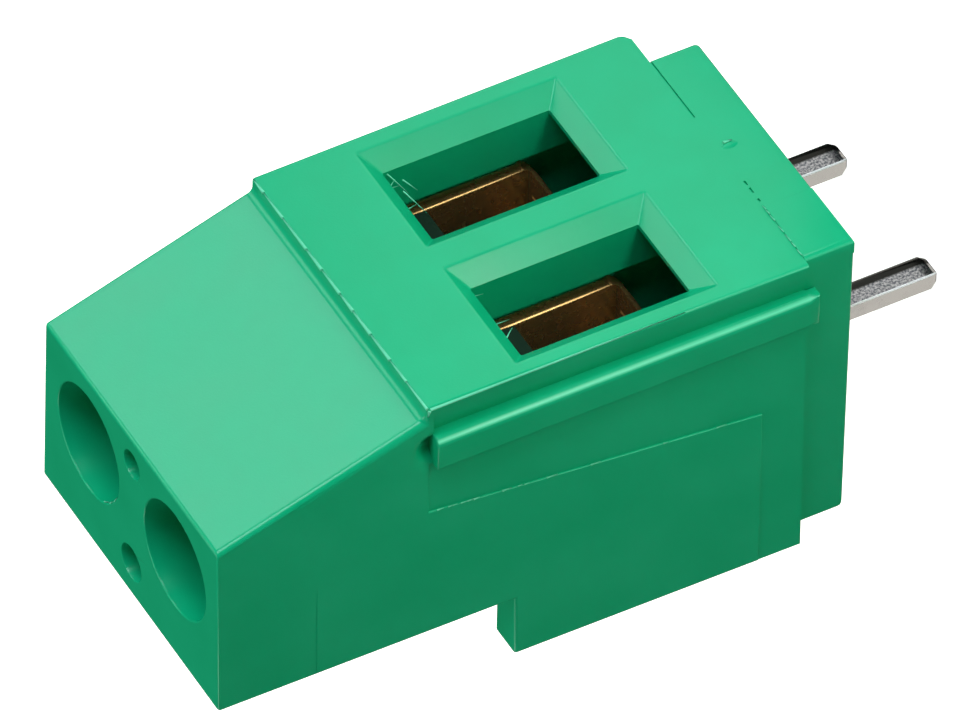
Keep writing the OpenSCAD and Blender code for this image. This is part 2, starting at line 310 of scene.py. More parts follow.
def set_up_camera():
    """Close view of the lying terminal, so the camera is rolled well over."""
    azimuth, elevation, roll = math.radians(-39.99), math.radians(20.29), math.radians(-111.04)
    aim = Vector((0.14, -0.13, 8.98)) * MM
    distance = 475.16 * MM
    back = Vector((
        math.sin(azimuth) * math.cos(elevation),
        -math.cos(azimuth) * math.cos(elevation),
        math.sin(elevation),
    ))
    level = (-back).to_track_quat("-Z", "Y").to_matrix()
    bpy.ops.object.camera_add(location=aim + back * distance)
    camera = bpy.context.object
    camera.name = "product_camera"
    camera.rotation_euler = (level @ Matrix.Rotation(roll, 3, "Z")).to_euler()
    camera.data.sensor_width = 36
    camera.data.lens = 637.5
    camera.data.clip_start = 0.01
    camera.data.clip_end = 10
    bpy.context.scene.camera = camera


def set_up_floor():
    """White paper. It reads pure white to the camera and dull to shiny surfaces."""
    bpy.ops.mesh.primitive_plane_add(size=4, location=(0, 0, cad_low[2] - 0.02 * MM))
    floor = bpy.context.object
    floor.name = "pale_floor"
    paper = bpy.data.materials.new("white_paper")
    paper.use_nodes = True
    tree = paper.node_tree
    shader = tree.nodes["Principled BSDF"]
    shader.inputs["Roughness"].default_value = 0.9
    shader.inputs["Specular IOR Level"].default_value = 0
    shader.inputs["Emission Color"].default_value = (1, 1, 1, 1)
    ray = tree.nodes.new("ShaderNodeLightPath")
    tree.links.new(ray.outputs["Is Camera Ray"], shader.inputs["Emission Strength"])
    tree.links.new(blend_colours(tree, ray.outputs["Is Glossy Ray"], (0.8, 0.8, 0.7),
                                 (0.12, 0.12, 0.11)), shader.inputs["Base Color"])
    floor.data.materials.append(paper)


def add_lamp(name, place, aim, size, brightness, colour=(1, 1, 1)):
    """Rectangular lamp at a place, turned to its aim, with an even surface brightness."""
    bpy.ops.object.light_add(type="AREA", location=place)
    lamp = bpy.context.object
    lamp.name = name
    lamp.data.shape = "RECTANGLE"
    lamp.data.size, lamp.data.size_y = size
    lamp.data.energy = brightness * math.pi * size[0] * size[1]
    lamp.data.color = colour
    lamp.rotation_euler = (Vector(aim) - Vector(place)).to_track_quat("-Z", "Y").to_euler()
    lamp.visible_camera = False
    return lamp


def add_softbox(name, direction, distance, size, brightness, colour=(1, 1, 1)):
    target = Vector((0, 0, 0.009))
    place = Vector(direction).normalized() * distance + target
    return add_lamp(name, place, target, size, brightness, colour)


def add_floor_card(name, x, y, width, depth, brightness, colour=(1, 1, 1)):
    """Card that lies on the floor and shows only as a reflection in shiny surfaces."""
    place = Vector((x, y, cad_low[2] / MM + 0.04)) * MM
    size = (width * MM, depth * MM)
    card = add_lamp(name, place, place + Vector((0, 0, 1)), size, brightness, colour)
    card.visible_diffuse = False


def set_up_lights():
    """Soft room that shiny faces see darker than matt ones, lamps round it, cards on its floor."""
    world = bpy.data.worlds.new("soft_room")
    world.use_nodes = True
    tree = world.node_tree
    room = tree.nodes["Background"]
    room.inputs["Color"].default_value = (1, 0.98, 0.86, 1)
    ray = tree.nodes.new("ShaderNodeLightPath")
    level = tree.nodes.new("ShaderNodeMapRange")
    level.inputs["To Min"].default_value = 0.1
    level.inputs["To Max"].default_value = 0.04
    tree.links.new(ray.outputs["Is Glossy Ray"], level.inputs["Value"])
    tree.links.new(level.outputs["Result"], room.inputs["Strength"])
    bpy.context.scene.world = world
    add_softbox("key_softbox", (-0.12, -0.95, 0.28), 0.4, (0.16, 0.16), 10.7, (0.95, 1, 1.16))
    add_softbox("front_sheen", (0.6, -0.78, 0.1), 0.4, (0.16, 0.2), 5.6, (0.95, 1, 1.14))
    add_softbox("low_card", (-0.64, -0.68, -0.3), 0.04, (0.014, 0.009), 12.5)
    add_softbox("overhead", (0.1, 0.1, 1), 0.5, (0.3, 0.3), 4.1)
    add_softbox("back_fill", (-0.25, 0.8, 0.55), 0.5, (0.16, 0.16), 3.4)
    for name, direction, brightness in (("slope_glint", (0.6, -0.35, 0.72), 5),
                                        ("back_glint", (-0.35, 0.72, 0.6), 2)):
        add_softbox(name, direction, 0.5, (0.2, 0.2), brightness,
                    (0.85, 1, 0.95)).visible_diffuse = False
    add_floor_card("edge_card", -28, -29, 44, 44, 2.5, (0.9, 1, 1))
    add_floor_card("plate_card", 22, -30, 36, 36, 1.9)
    add_floor_card("pin_side_card", -3.5, 4.2, 12, 9, 0.62, (1, 0.95, 0.88))
    add_floor_card("pin_front_card", 4, -5, 14, 8, 0.6)
    bpy.context.scene.view_settings.view_transform = "Standard"


# ---------------------------------------------------------------- materials

def new_group(name, inputs, outputs):
    group = bpy.data.node_groups.new(name, "ShaderNodeTree")
    for label, kind, value in inputs:
        socket = group.interface.new_socket(label, in_out="INPUT", socket_type=kind)
        socket.default_value = value
    for label, kind in outputs:
        group.interface.new_socket(label, in_out="OUTPUT", socket_type=kind)
    entry = group.nodes.new("NodeGroupInput")
    leave = group.nodes.new("NodeGroupOutput")
    return group, entry, leave


def fine_grain_group():
    """Small random relief and a slow cloudy mask, both from the piece's own coordinates."""
    group, entry, leave = new_group(
        "fine_grain",
        [("Grain Size", "NodeSocketFloat", 0.05), ("Cloud Size", "NodeSocketFloat", 2.0)],
        [("Grain", "NodeSocketFloat"), ("Clouds", "NodeSocketFloat")],
    )
    nodes, links = group.nodes, group.links
    place = nodes.new("ShaderNodeTexCoord")
    for size, octaves, result in (("Grain Size", 3, "Grain"), ("Cloud Size", 2, "Clouds")):
        to_scale = nodes.new("ShaderNodeMath")
        to_scale.operation = "DIVIDE"
        to_scale.inputs[0].default_value = 1000
        links.new(entry.outputs[size], to_scale.inputs[1])
        noise = nodes.new("ShaderNodeTexNoise")
        noise.inputs["Detail"].default_value = octaves
        noise.inputs["Roughness"].default_value = 0.55
        links.new(place.outputs["Object"], noise.inputs["Vector"])
        links.new(to_scale.outputs["Value"], noise.inputs["Scale"])
        links.new(noise.outputs["Fac"], leave.inputs[result])
    return group


def start_material(name):
    material = bpy.data.materials.new(name)
    material.use_nodes = True
    tree = material.node_tree
    return material, tree, tree.nodes["Principled BSDF"]


def place_group(tree, group, **values):
    node = tree.nodes.new("ShaderNodeGroup")
    node.node_tree = group
    for label, value in values.items():
        node.inputs[label.replace("_", " ")].default_value = value
    return node


def spread(tree, source, low, high):
    """Maps a 0 to 1 mask to a range."""
    node = tree.nodes.new("ShaderNodeMapRange")
    node.inputs["From Min"].default_value = 0.3
    node.inputs["From Max"].default_value = 0.7
    node.inputs["To Min"].default_value = low
    node.inputs["To Max"].default_value = high
    tree.links.new(source, node.inputs["Value"])
    return node.outputs["Result"]


def ramp(tree, source, first, last):
    """0 below the first value, 1 above the last."""
    node = tree.nodes.new("ShaderNodeMapRange")
    node.inputs["From Min"].default_value = first
    node.inputs["From Max"].default_value = last
    tree.links.new(source, node.inputs["Value"])
    return node.outputs["Result"]


def multiply(tree, first, second):
    node = tree.nodes.new("ShaderNodeMath")
    node.operation = "MULTIPLY"
    tree.links.new(first, node.inputs[0])
    tree.links.new(second, node.inputs[1])
    return node.outputs["Value"]


def blend_colours(tree, factor, first, second):
    node = tree.nodes.new("ShaderNodeMix")
    node.data_type = "RGBA"
    node.inputs["A"].default_value = (*first, 1)
    node.inputs["B"].default_value = (*second, 1)
    tree.links.new(factor, node.inputs["Factor"])
    return node.outputs["Result"]


def cover_colour(tree, mask, under, colour):
    """Lays a plain colour over another one where the mask is 1."""
    node = tree.nodes.new("ShaderNodeMix")
    node.data_type = "RGBA"
    node.inputs["B"].default_value = (*colour, 1)
    tree.links.new(mask, node.inputs["Factor"])
    tree.links.new(under, node.inputs["A"])
    return node.outputs["Result"]


def place_and_facing(tree):
    """The piece's own coordinates and the direction that its surface faces, each split in three."""
    source = tree.nodes.new("ShaderNodeTexCoord")
    parts = []
    for output in ("Object", "Normal"):
        split = tree.nodes.new("ShaderNodeSeparateXYZ")
        tree.links.new(source.outputs[output], split.inputs["Vector"])
        parts.append(split.outputs)
    return parts


def raise_grain(tree, shader, height, strength, distance):
    bump = tree.nodes.new("ShaderNodeBump")
    bump.inputs["Strength"].default_value = strength
    bump.inputs["Distance"].default_value = distance
    tree.links.new(height, bump.inputs["Height"])
    tree.links.new(bump.outputs["Normal"], shader.inputs["Normal"])


def moulded_green(grain, name, dark, light, shine):
    """Faintly clouded plastic, with a painted highlight: paler along the rib's rounded crest."""
    material, tree, shader = start_material(name)
    skin = place_group(tree, grain, Grain_Size=0.06, Cloud_Size=2.5)
    place, facing = place_and_facing(tree)
    # Painted highlight: a pale band on rounded edges that face the front and the near side, out on
    # the rib's crest.
    painted_crest_highlight = multiply(tree, multiply(tree, ramp(tree, facing["X"], -0.45, -0.75),
                                     ramp(tree, facing["Y"], -0.4, -0.66)),
                      ramp(tree, place["X"], -5.1 * MM, -5.14 * MM))
    clouded = blend_colours(tree, spread(tree, skin.outputs["Clouds"], 0, 1), dark, light)
    # The pale green laid over the crest is that painted highlight.
    tree.links.new(cover_colour(tree, painted_crest_highlight, clouded, (0.10, 0.70, 0.38)),
                   shader.inputs["Base Color"])
    tree.links.new(spread(tree, skin.outputs["Clouds"], 0.2, 0.27), shader.inputs["Roughness"])
    shader.inputs["Specular IOR Level"].default_value = shine
    raise_grain(tree, shader, skin.outputs["Grain"], 0.12, 0.02 * MM)
    return material


def plated_metal(grain, name, dark, light, rough_low, rough_high, grain_size, relief, metal=1):
    material, tree, shader = start_material(name)
    skin = place_group(tree, grain, Grain_Size=grain_size, Cloud_Size=0.5)
    tree.links.new(blend_colours(tree, spread(tree, skin.outputs["Grain"], 0, 1), dark, light),
                   shader.inputs["Base Color"])
    tree.links.new(spread(tree, skin.outputs["Clouds"], rough_low, rough_high),
                   shader.inputs["Roughness"])
    shader.inputs["Metallic"].default_value = metal
    raise_grain(tree, shader, skin.outputs["Grain"], relief, 0.02 * MM)
    return material


def tinned_strip(grain):
    """Tin, speckled on the pins' broad face, with painted light: painted shade inside the housing,
    a painted dark reflection where each pin rolls over and a painted white highlight on its front
    near edges.
    """
    material, tree, shader = start_material("tin_plate")
    shader.inputs["Specular IOR Level"].default_value = 0.03
    skin = place_group(tree, grain, Grain_Size=0.075, Cloud_Size=0.4)
    place, facing = place_and_facing(tree)
    middle = PITCH / 2 * MM  # of each pin, once its place is wrapped to one pitch
    across = tree.nodes.new("ShaderNodeMath")
    across.operation = "WRAP"
    across.inputs[1].default_value = PITCH * MM
    across.inputs[2].default_value = 0
    tree.links.new(place["X"], across.inputs[0])
    outside = ramp(tree, place["Z"], 2 * MM, 1 * MM)
    # Painted shade: the strip inside the housing is painted near black with a green cast, for the
    # shade and the green walls it would mirror.
    inside = ramp(tree, place["Z"], 1 * MM, 2 * MM)
    # Painted dark reflection: the rolled-over edge of each pin is painted near black, where it
    # would mirror the dark room.
    rolled = multiply(tree, ramp(tree, across.outputs["Value"], middle - 0.04 * MM,
                                 middle + 0.04 * MM), outside)
    # Painted highlight: the pins' rounded front near edges are painted white and lose their metal.
    edge = multiply(tree, multiply(tree, ramp(tree, facing["X"], -0.1, -0.3),
                                   ramp(tree, facing["Y"], -0.1, -0.3)), outside)
    broad = multiply(tree, ramp(tree, facing["Y"], -0.8, -0.97), outside)
    speckled = multiply(tree, broad, ramp(tree, skin.outputs["Grain"], 0.62, 0.38))
    colour = blend_colours(tree, speckled, (0.72, 0.71, 0.70), (0.17, 0.18, 0.20))
    # Painted dark reflection on the rolled edge, painted white highlight on the front edges,
    # painted shade inside the housing.
    for mask, shade in ((rolled, (0.04, 0.04, 0.035)), (edge, (0.9, 0.9, 0.88)),
                        (inside, (0.012, 0.03, 0.018))):
        colour = cover_colour(tree, mask, colour, shade)
    tree.links.new(colour, shader.inputs["Base Color"])
    tree.links.new(spread(tree, skin.outputs["Clouds"], 0.18, 0.3), shader.inputs["Roughness"])
    # Metal everywhere outside the housing except on the painted white edge highlight.
    bright = tree.nodes.new("ShaderNodeMath")
    bright.operation = "SUBTRACT"
    tree.links.new(outside, bright.inputs[0])
    tree.links.new(edge, bright.inputs[1])
    tree.links.new(bright.outputs["Value"], shader.inputs["Metallic"])
    raise_grain(tree, shader, multiply(tree, skin.outputs["Grain"], outside), 0.2, 0.01 * MM)
    return material


# ---------------------------------------------------------------- housing

def housing_body():
    """Block with the slope, the step, the rear legs and the drafted sides."""
    body = add_block("housing_body", (-6, PLATE_Y, JOINT_Z), (6, REAR_Y, STEP_Z))
    score(body, (0, SLOPE_FOOT_Y, 0), (0, 1, 0))
    pick_faces(body, lambda c, n: n.z > 0.9 and c.y > SLOPE_FOOT_Y)
    bpy.ops.mesh.extrude_region_move(TRANSFORM_OT_translate={"value": (0, 0, FACE_Z - STEP_Z)})
    pick_edges(body, lambda a, b: min(a.z, b.z) > 20 and max(a.y, b.y) < -4.6, 0)
    bpy.ops.transform.translate(value=(0, SLOPE_TOP_Y - SLOPE_FOOT_Y, 0))
    close_mesh()
    for point, normal in (((0, 0, LEG_TOP_Z), (0, 0, 1)), ((NEAR_LEG_X, 0, 0), (1, 0, 0)),
                          ((FAR_LEG_X, 0, 0), (1, 0, 0))):
        score(body, point, normal)
    pick_faces(body, lambda c, n: n.y > 0.9 and c.z < LEG_TOP_Z
               and (c.x < NEAR_LEG_X or c.x > FAR_LEG_X))
    bpy.ops.mesh.extrude_region_move(TRANSFORM_OT_translate={"value": (0, LEG_REACH, 0)})
    close_mesh()
    slice_off(body, NEAR_CORNER, NEAR_PLANE)
    slice_off(body, FAR_CORNER, FAR_PLANE)
    tidy_flats(body)
    soften(body, 0.33, lambda a, b: max(a.z, b.z) < 1.6 and min(a.x, b.x) > 5
           and abs(a.y - b.y) > 5, 6)
    soften_by_weight(
        body, 0.24, 4,
        (1.0, is_near_slope_side),
        (0.42, lambda a, b: max(a.z, b.z) > 1.6 and not is_near_slope_side(a, b)
         and not is_step_foot(a, b)),
        (0.95, is_step_foot),
    )
    return body


def is_step_foot(a, b):
    """True on the inner corner where the slope meets the end of the entry plate."""
    return (abs(a.x - b.x) > 5 and abs(a.y - SLOPE_FOOT_Y) < 0.01
            and abs(a.z - STEP_Z) < 0.01)


def is_near_slope_side(a, b):
    """True on the slope's long edge along the near side."""
    return abs(a.z - b.z) > 4 and abs(a.y - b.y) > 1 and abs(a.x - b.x) < 1 and a.x < 0


def side_rib():
    """Rib with a rounded crest. Its root stays sunk in the side and its foot hangs free."""
    rib = add_block("side_rib", (-5.35, RIB_FRONT_Y, 1.28), (-4.98, RIB_BACK_Y, RIB_END_Z))
    score(rib, (0, 0, JOINT_Z), (0, 0, 1))
    pick_faces(rib, lambda c, n: n.x > 0.9 and c.z > JOINT_Z)
    bpy.ops.mesh.extrude_region_move(TRANSFORM_OT_translate={"value": (1.4, 0, 0)})
    close_mesh()
    soften(rib, 0.26, lambda a, b: max(a.x, b.x) < -5.3 and max(a.y, b.y) < -3.9
           and abs(a.z - b.z) > 1, 6)
    soften(rib, 0.06, lambda a, b: max(a.x, b.x) < -5 and (min(a.y, b.y) > -3
           or abs(a.z - b.z) < 0.5), 3, 40)
    return rib


def rib_groove():
    """Wedge that leans in from the edge of the plate down to the root of the rib."""
    wedge = add_block("rib_groove", (-8, -6.2, BELOW_FOOT_Z), (-3, RIB_FRONT_Y, RIB_END_Z))
    slice_off(wedge, (NEAR_CORNER[0], PLATE_Y, FACE_Z), -side_normal(-14))
    return wedge


def rib_dimple():
    """Bowl with a flared lip at the rib's end, drawn out of a disc ring by ring."""
    radius, depth = 0.14, -4.79
    bowl = add_rod("rib_dimple", radius, (depth + 0.01, DIMPLE_Y, RIB_END_Z), 0.01, 48,
                   turn=(0, -90, 0))
    pick_faces(bowl, lambda c, n: n.x < -0.9)
    for wider, outer in ((0.24, -4.81), (0.32, -4.86), (0.39, -4.92), (0.46, -4.97),
                         (0.54, -5.01), (0.64, -5.04), (0.78, -5.062), (1.1, -5.1)):
        bpy.ops.mesh.extrude_region_move(
            TRANSFORM_OT_translate={"value": (outer - depth, 0, 0)})
        bpy.ops.transform.resize(value=(1, wider / radius, wider / radius),
                                 center_override=(outer, DIMPLE_Y, RIB_END_Z))
        radius, depth = wider, outer
    close_mesh()
    slice_off(bowl, (0, 0, RIB_END_Z), (0, 0, 1))
    return bowl


def shallow_cut(name, low, high, plane, floor_x):
    """Block that cuts a drafted side to one depth everywhere."""
    block = add_block(name, low, high)
    slice_off(block, (floor_x, SLOPE_TOP_Y, FACE_Z), -plane)
    return block


def top_band():
    """Band along the screw face's end of the side that ramps down to its small depth."""
    band = shallow_cut("top_band", (-8, -8, 17), (-3, 8, 22), NEAR_PLANE, NEAR_CORNER[0] + 0.02)
    slice_off(band, (-5.05, SLOPE_TOP_Y, 17.4), (-0.15, 0, 0.02))
    return band


def side_recess():
    """Shallow recess behind the rib, with a strip that runs across the foot of the side."""
    recess = add_block("side_recess", (-8, RIB_BACK_Y, BELOW_FOOT_Z), (-3, 7, RECESS_FOOT_Z))
    score(recess, (0, RECESS_FOOT_Y, 0), (0, 1, 0))
    pick_faces(recess, lambda c, n: n.z > 0.9 and c.y < RECESS_FOOT_Y)
    bpy.ops.mesh.extrude_region_move(
        TRANSFORM_OT_translate={"value": (0, 0, RECESS_END_Z - RECESS_FOOT_Z)})
    pick_edges(recess, lambda a, b: min(a.z, b.z) > 13 and min(a.y, b.y) > 0, 0)
    bpy.ops.transform.translate(value=(0, -RECESS_SLANT, 0))
    close_mesh()
    slice_off(recess, (NEAR_CORNER[0] + 0.06, SLOPE_TOP_Y, FACE_Z), -NEAR_PLANE)
    return recess


def recess_edge_y(z):
    """Where the slanting back edge of the recess lies at a height."""
    rise = (z - RECESS_FOOT_Z) / (RECESS_END_Z - RECESS_FOOT_Z)
    return RECESS_FOOT_Y - RECESS_SLANT * rise


def wire_entry(x):
    """Window with a funnel that spreads towards the front."""
    half_height = (WINDOW_END_Z - WINDOW_FOOT_Z) / 2
    window = add_block("wire_entry", (x - WINDOW_HALF, -4.6, WINDOW_FOOT_Z),
                       (x + WINDOW_HALF, -2.2, WINDOW_END_Z))
    pick_faces(window, lambda c, n: n.y < -0.9)
    bpy.ops.mesh.extrude_region_move(TRANSFORM_OT_translate={"value": (0, -1.04, 0)})
    bpy.ops.transform.resize(
        value=(FUNNEL_HALF / WINDOW_HALF, 1, FUNNEL_HALF_HEIGHT / half_height),
        center_override=(x, -5.64, WINDOW_FOOT_Z + half_height))
    close_mesh()
    soften(window, 0.06, lambda a, b: abs(a.y - b.y) > 0.5, 3)
    return window


def pole_cavity(x):
    """Room for the sleeve, the screw and the contact of one pole, cored from below."""
    return (
        add_block("entry_core", (x - WINDOW_HALF, -4.45, BELOW_FOOT_Z),
                  (x + WINDOW_HALF, -2.6, 5.4)),
        add_block("sleeve_room", (x - ROOM_HALF, ROOM_FRONT_Y, BELOW_FOOT_Z),
                  (x + ROOM_HALF, ROOM_REAR_Y, 13.5)),
        add_rod("head_room", HEAD_RADIUS + 0.075, (x, 0, BELOW_FOOT_Z), 15.85),
        add_rod("driver_hole", DRIVER_HOLE_RADIUS, (x, 0, 15), 6),
    )


def on_recess_rim(point):
    """True on the outer rim of the recess: its end, its slanting edge and its strip."""
    at_side = abs((point - Vector(NEAR_CORNER)).dot(NEAR_PLANE)) < 0.004
    on_end = abs(point.z - RECESS_END_Z) < 0.01 and -2.95 < point.y < -1.0
    on_strip = abs(point.z - RECESS_FOOT_Z) < 0.01 and point.y > 0
    on_slant = abs(point.y - recess_edge_y(point.z)) < 0.01 and 2.9 < point.z < 13.51
    return at_side and (on_end or on_strip or on_slant)


def is_within(point, x, y, radius):
    return math.hypot(point.x - x, point.y - y) < radius


def build_housing():
    body = housing_body()
    carve(body, rib_groove(), rib_dimple(), side_recess(), top_band(),
          shallow_cut("mating_groove", (3, -4.1, BELOW_FOOT_Z), (8, -2.8, 13.48), FAR_PLANE,
                      FAR_CORNER[0] - 0.33))
    weld_on(body, side_rib())
    for x in POLES.values():
        carve(body, wire_entry(x), *pole_cavity(x))
    carve(body, add_rod("front_core", 0.45, (0, FRONT_CORE_Y, CORE_FLOOR_Z), 5, 40),
          add_rod("rear_core", 0.58, (0, REAR_CORE_Y, CORE_FLOOR_Z), 5, 40))
    soften_openings(body)
    return body


def soften_openings(body):
    """Rounds the rims of the recess, the driver holes, the cores and the funnels."""
    soften(body, 0.035, lambda a, b: on_recess_rim(a) and on_recess_rim(b), 3, 30)
    rim = DRIVER_HOLE_RADIUS + 0.05
    for x in POLES.values():
        soften(body, 0.05, lambda a, b: min(a.z, b.z) > FACE_Z - 0.01
               and is_within(a, x, 0, rim) and is_within(b, x, 0, rim), 3)
    for y in (FRONT_CORE_Y, REAR_CORE_Y):
        soften(body, 0.04, lambda a, b: min(a.z, b.z) > FACE_Z - 0.01
               and is_within(a, 0, y, 0.7) and is_within(b, 0, y, 0.7), 2)
    soften(body, 0.07, lambda a, b: max(a.y, b.y) < PLATE_Y + 0.01 and 4 < min(a.z, b.z)
           and max(a.z, b.z) < 10.8 and max(abs(a.x), abs(b.x)) < 4.75, 3)


# ---------------------------------------------------------------- base

def joint_gap(low_x, high_x):
    """Stretch of the joint that stands open at the front."""
    return add_block("joint_gap", (low_x, -6, JOINT_Z - 0.06), (high_x, -5.05, 1.8))


def base_plug(x):
    """Plug with a lead-in that closes one pole from below."""
    half = ROOM_HALF - PLUG_FIT
    plug = add_block("base_plug", (x - half, ROOM_FRONT_Y + PLUG_FIT, 1.0),
                     (x + half, ROOM_REAR_Y - PLUG_FIT, PLUG_TOP_Z))
    soften(plug, 0.25, lambda a, b: min(a.z, b.z) > PLUG_TOP_Z - 0.1, 1)
    return plug


def pin_opening(x):
    """Slot for the pin with the solder relief round its lower end."""
    half_x = PIN_HALF_X + PIN_FIT
    half_y = PIN_HALF_Y + PIN_FIT
    slot = add_block("pin_opening", (x - half_x, -half_y, -1), (x + half_x, half_y, 4))
    relief = add_block("solder_relief", (x - 1.15, -0.95, -1), (x + 1.15, 0.95, 0.3))
    soften(relief, 0.25, lambda a, b: abs(a.z - b.z) > 0.5, 5)
    weld_on(slot, relief)
    return slot


def latch_nose():
    """Low smooth swelling of the base's front, just under the joint."""
    deselect_all()
    bpy.ops.mesh.primitive_uv_sphere_add(segments=48, ring_count=24, radius=1,
                                         location=(0, -4.68, 1.2))
    nose = bpy.context.object
    nose.name = "latch_nose"
    nose.scale = (0.32, 0.49, 0.6)
    bpy.ops.object.transform_apply(location=True, rotation=True, scale=True)
    return nose


def front_pad():
    """Raised near half of the base's front, well rounded where it meets the side."""
    pad = add_block("front_pad", (BASE_NEAR_X, PAD_Y, 0), (-PITCH / 2, -4.7, JOINT_Z))
    soften_by_weight(
        pad, 0.22, 5,
        (0.16, lambda a, b: max(a.y, b.y) < -5.1),
        (1.0, lambda a, b: max(a.y, b.y) < -5.1 and max(a.x, b.x) < -4.9),
    )
    return pad


def build_base():
    base = add_block("base_plate", (BASE_NEAR_X, PLATE_Y, 0), (BASE_FAR_X, BASE_REAR_Y, JOINT_Z))
    soften_by_weight(
        base, 0.3, 5,
        (0.25, lambda a, b: max(a.z, b.z) < 0.1 or abs(a.z - b.z) > 0.5),
        (0.5, lambda a, b: min(a.x, b.x) > BASE_FAR_X - 0.05 and max(a.z, b.z) < 0.1),
        (0.8, lambda a, b: max(a.x, b.x) < -4.9 and max(a.y, b.y) < -5.1),
        (1.0, lambda a, b: min(a.y, b.y) > BASE_REAR_Y - 0.08 and max(a.z, b.z) < 0.1),
    )
    weld_on(base, front_pad(), latch_nose())
    for x in POLES.values():
        weld_on(base, base_plug(x))
    for x in POLES.values():
        carve(base, pin_opening(x))
    for low_x, high_x in ((1.4, 6), (-1.6, -1.42), (-1.94, -1.72), (-2.32, -2.2)):
        carve(base, joint_gap(low_x, high_x))
    return base


# ---------------------------------------------------------------- moulding flash and painted highlight slivers

def near_side_x(y, z):
    """Where the drafted near side lies."""
    lean = NEAR_PLANE.y * (y - SLOPE_TOP_Y) + NEAR_PLANE.z * (z - FACE_Z)
    return NEAR_CORNER[0] - lean / NEAR_PLANE.x


def add_sliver(start, end, thickness):
    """Thin sliver, a scrap of flash or a painted highlight line, that tapers towards its end."""
    start, end = Vector(start), Vector(end)
    length = (end - start).length
    sliver = add_block("flash", (0, -thickness / 2, -thickness / 2),
                       (length, thickness / 2, thickness / 2))
    pick_faces(sliver, lambda c, n: n.x > 0.9)
    bpy.ops.transform.resize(value=(1, 0.4, 0.4))
    close_mesh()
    soften(sliver, thickness * 0.3, lambda a, b: abs(a.x - b.x) > length / 2, 2)
    make_active(sliver)
    sliver.rotation_mode = "QUATERNION"
    sliver.rotation_quaternion = (end - start).to_track_quat("X", "Z")
    sliver.location = start
    bpy.ops.object.transform_apply(location=True, rotation=True, scale=True)
    return sliver


def recess_flash_and_highlight(chance):
    """Pale scraps of flash along the slanting edge of the recess, which also paint its highlight
    line.
    """
    for z in (13.25, 12.9, 12.75, 12.5, 12.3, 12.1, 11.2, 10.7, 10.5, 9.8, 8.4, 6.1, 4.4):
        y = recess_edge_y(z)
        side = near_side_x(y, z)
        length = chance.uniform(0.12, 0.4)
        rise = chance.uniform(-0.015, 0.03)
        yield add_sliver((side - 0.005, y - 0.02, z),
                         (side - 0.01, y - 0.02 - rise, z - length), chance.uniform(0.03, 0.055))


def joint_highlight_slivers(chance):
    """Painted highlight: pale slivers along the joint above the pad."""
    for x in (-4.7, -4.35, -4.1, -3.7, -3.2, -2.9, -2.7):
        length = chance.uniform(0.15, 0.35)
        yield add_sliver((x, PAD_Y - 0.005, JOINT_Z), (x + length, PAD_Y, JOINT_Z + 0.015),
                         chance.uniform(0.03, 0.045))


def hole_flash():
    """Scraps inside the rims of the driver holes."""
    outer = DRIVER_HOLE_RADIUS - 0.01
    inner = DRIVER_HOLE_RADIUS - 0.03
    for x, angle in ((-PITCH / 2, 250), (-PITCH / 2, 262),
                     (PITCH / 2, 120), (PITCH / 2, 133), (PITCH / 2, 146)):
        start = math.radians(angle)
        end = start + 0.16
        yield add_sliver(
            (x + outer * math.cos(start), outer * math.sin(start), FACE_Z - 0.04),
            (x + inner * math.cos(end), inner * math.sin(end), FACE_Z - 0.05), 0.045)


def plate_highlight_slivers(chance):
    """Painted highlight: pale slivers in a broken line along the end of the entry plate and a long
    thin one along its near edge.
    """
    x = -5.0
    while x < 4.6:
        length = min(chance.uniform(0.5, 1.6), 5.05 - x)
        yield add_sliver((x, -5.09, 13.57), (x + length, -5.09, 13.57),
                         chance.uniform(0.07, 0.1))
        x += length * 0.9
    yield add_sliver((-5.06, -5.09, 13.5), (-5.07, -5.085, 5.5), 0.08)


def window_flash(chance):
    """Threads that hang from the upper edge of the windows, most of them in the far one."""
    for x, z, run in ((4.05, 9.9, -0.95), (3.2, 9.82, -1.0), (3.6, 9.62, -0.5)):
        yield add_sliver((x, -4.5, z), (x + run, -4.45, z - 0.2), 0.045)
    for x in POLES.values():
        for _ in range(3):
            low = Vector((x + chance.uniform(-1.2, 1.4), chance.uniform(-4.55, -4.3), 10.02))
            drop = Vector((chance.uniform(-0.2, 0.2), chance.uniform(-0.2, 0.2),
                           -chance.uniform(0.2, 0.35)))
            yield add_sliver(low, low + drop, chance.uniform(0.03, 0.05))


def build_flash_and_highlights():
    """All scraps of flash and the pale slivers that paint highlight lines, joined into one piece.
    """
    chance = random.Random(7)
    # Painted highlight: a pale sliver on the near corner at the end of the entry plate.
    plate_corner_highlight = add_sliver((-5.1, -5.1, 13.55), (-5.15, -4.95, 13.62), 0.09)
    slivers = [
        plate_corner_highlight,
        *recess_flash_and_highlight(chance),
        *joint_highlight_slivers(chance),
        *hole_flash(),
        *plate_highlight_slivers(chance),
        # Painted highlight: a pale sliver on top of the latch nose.
        add_sliver((0.12, -5.165, 1.34), (0.12, -5.16, 1.08), 0.09),
        *window_flash(chance),
    ]
    deselect_all()
    for sliver in slivers:
        sliver.select_set(True)
    bpy.context.view_layer.objects.active = plate_corner_highlight
    bpy.ops.object.join()
    return bpy.context.object


# ---------------------------------------------------------------- metal parts

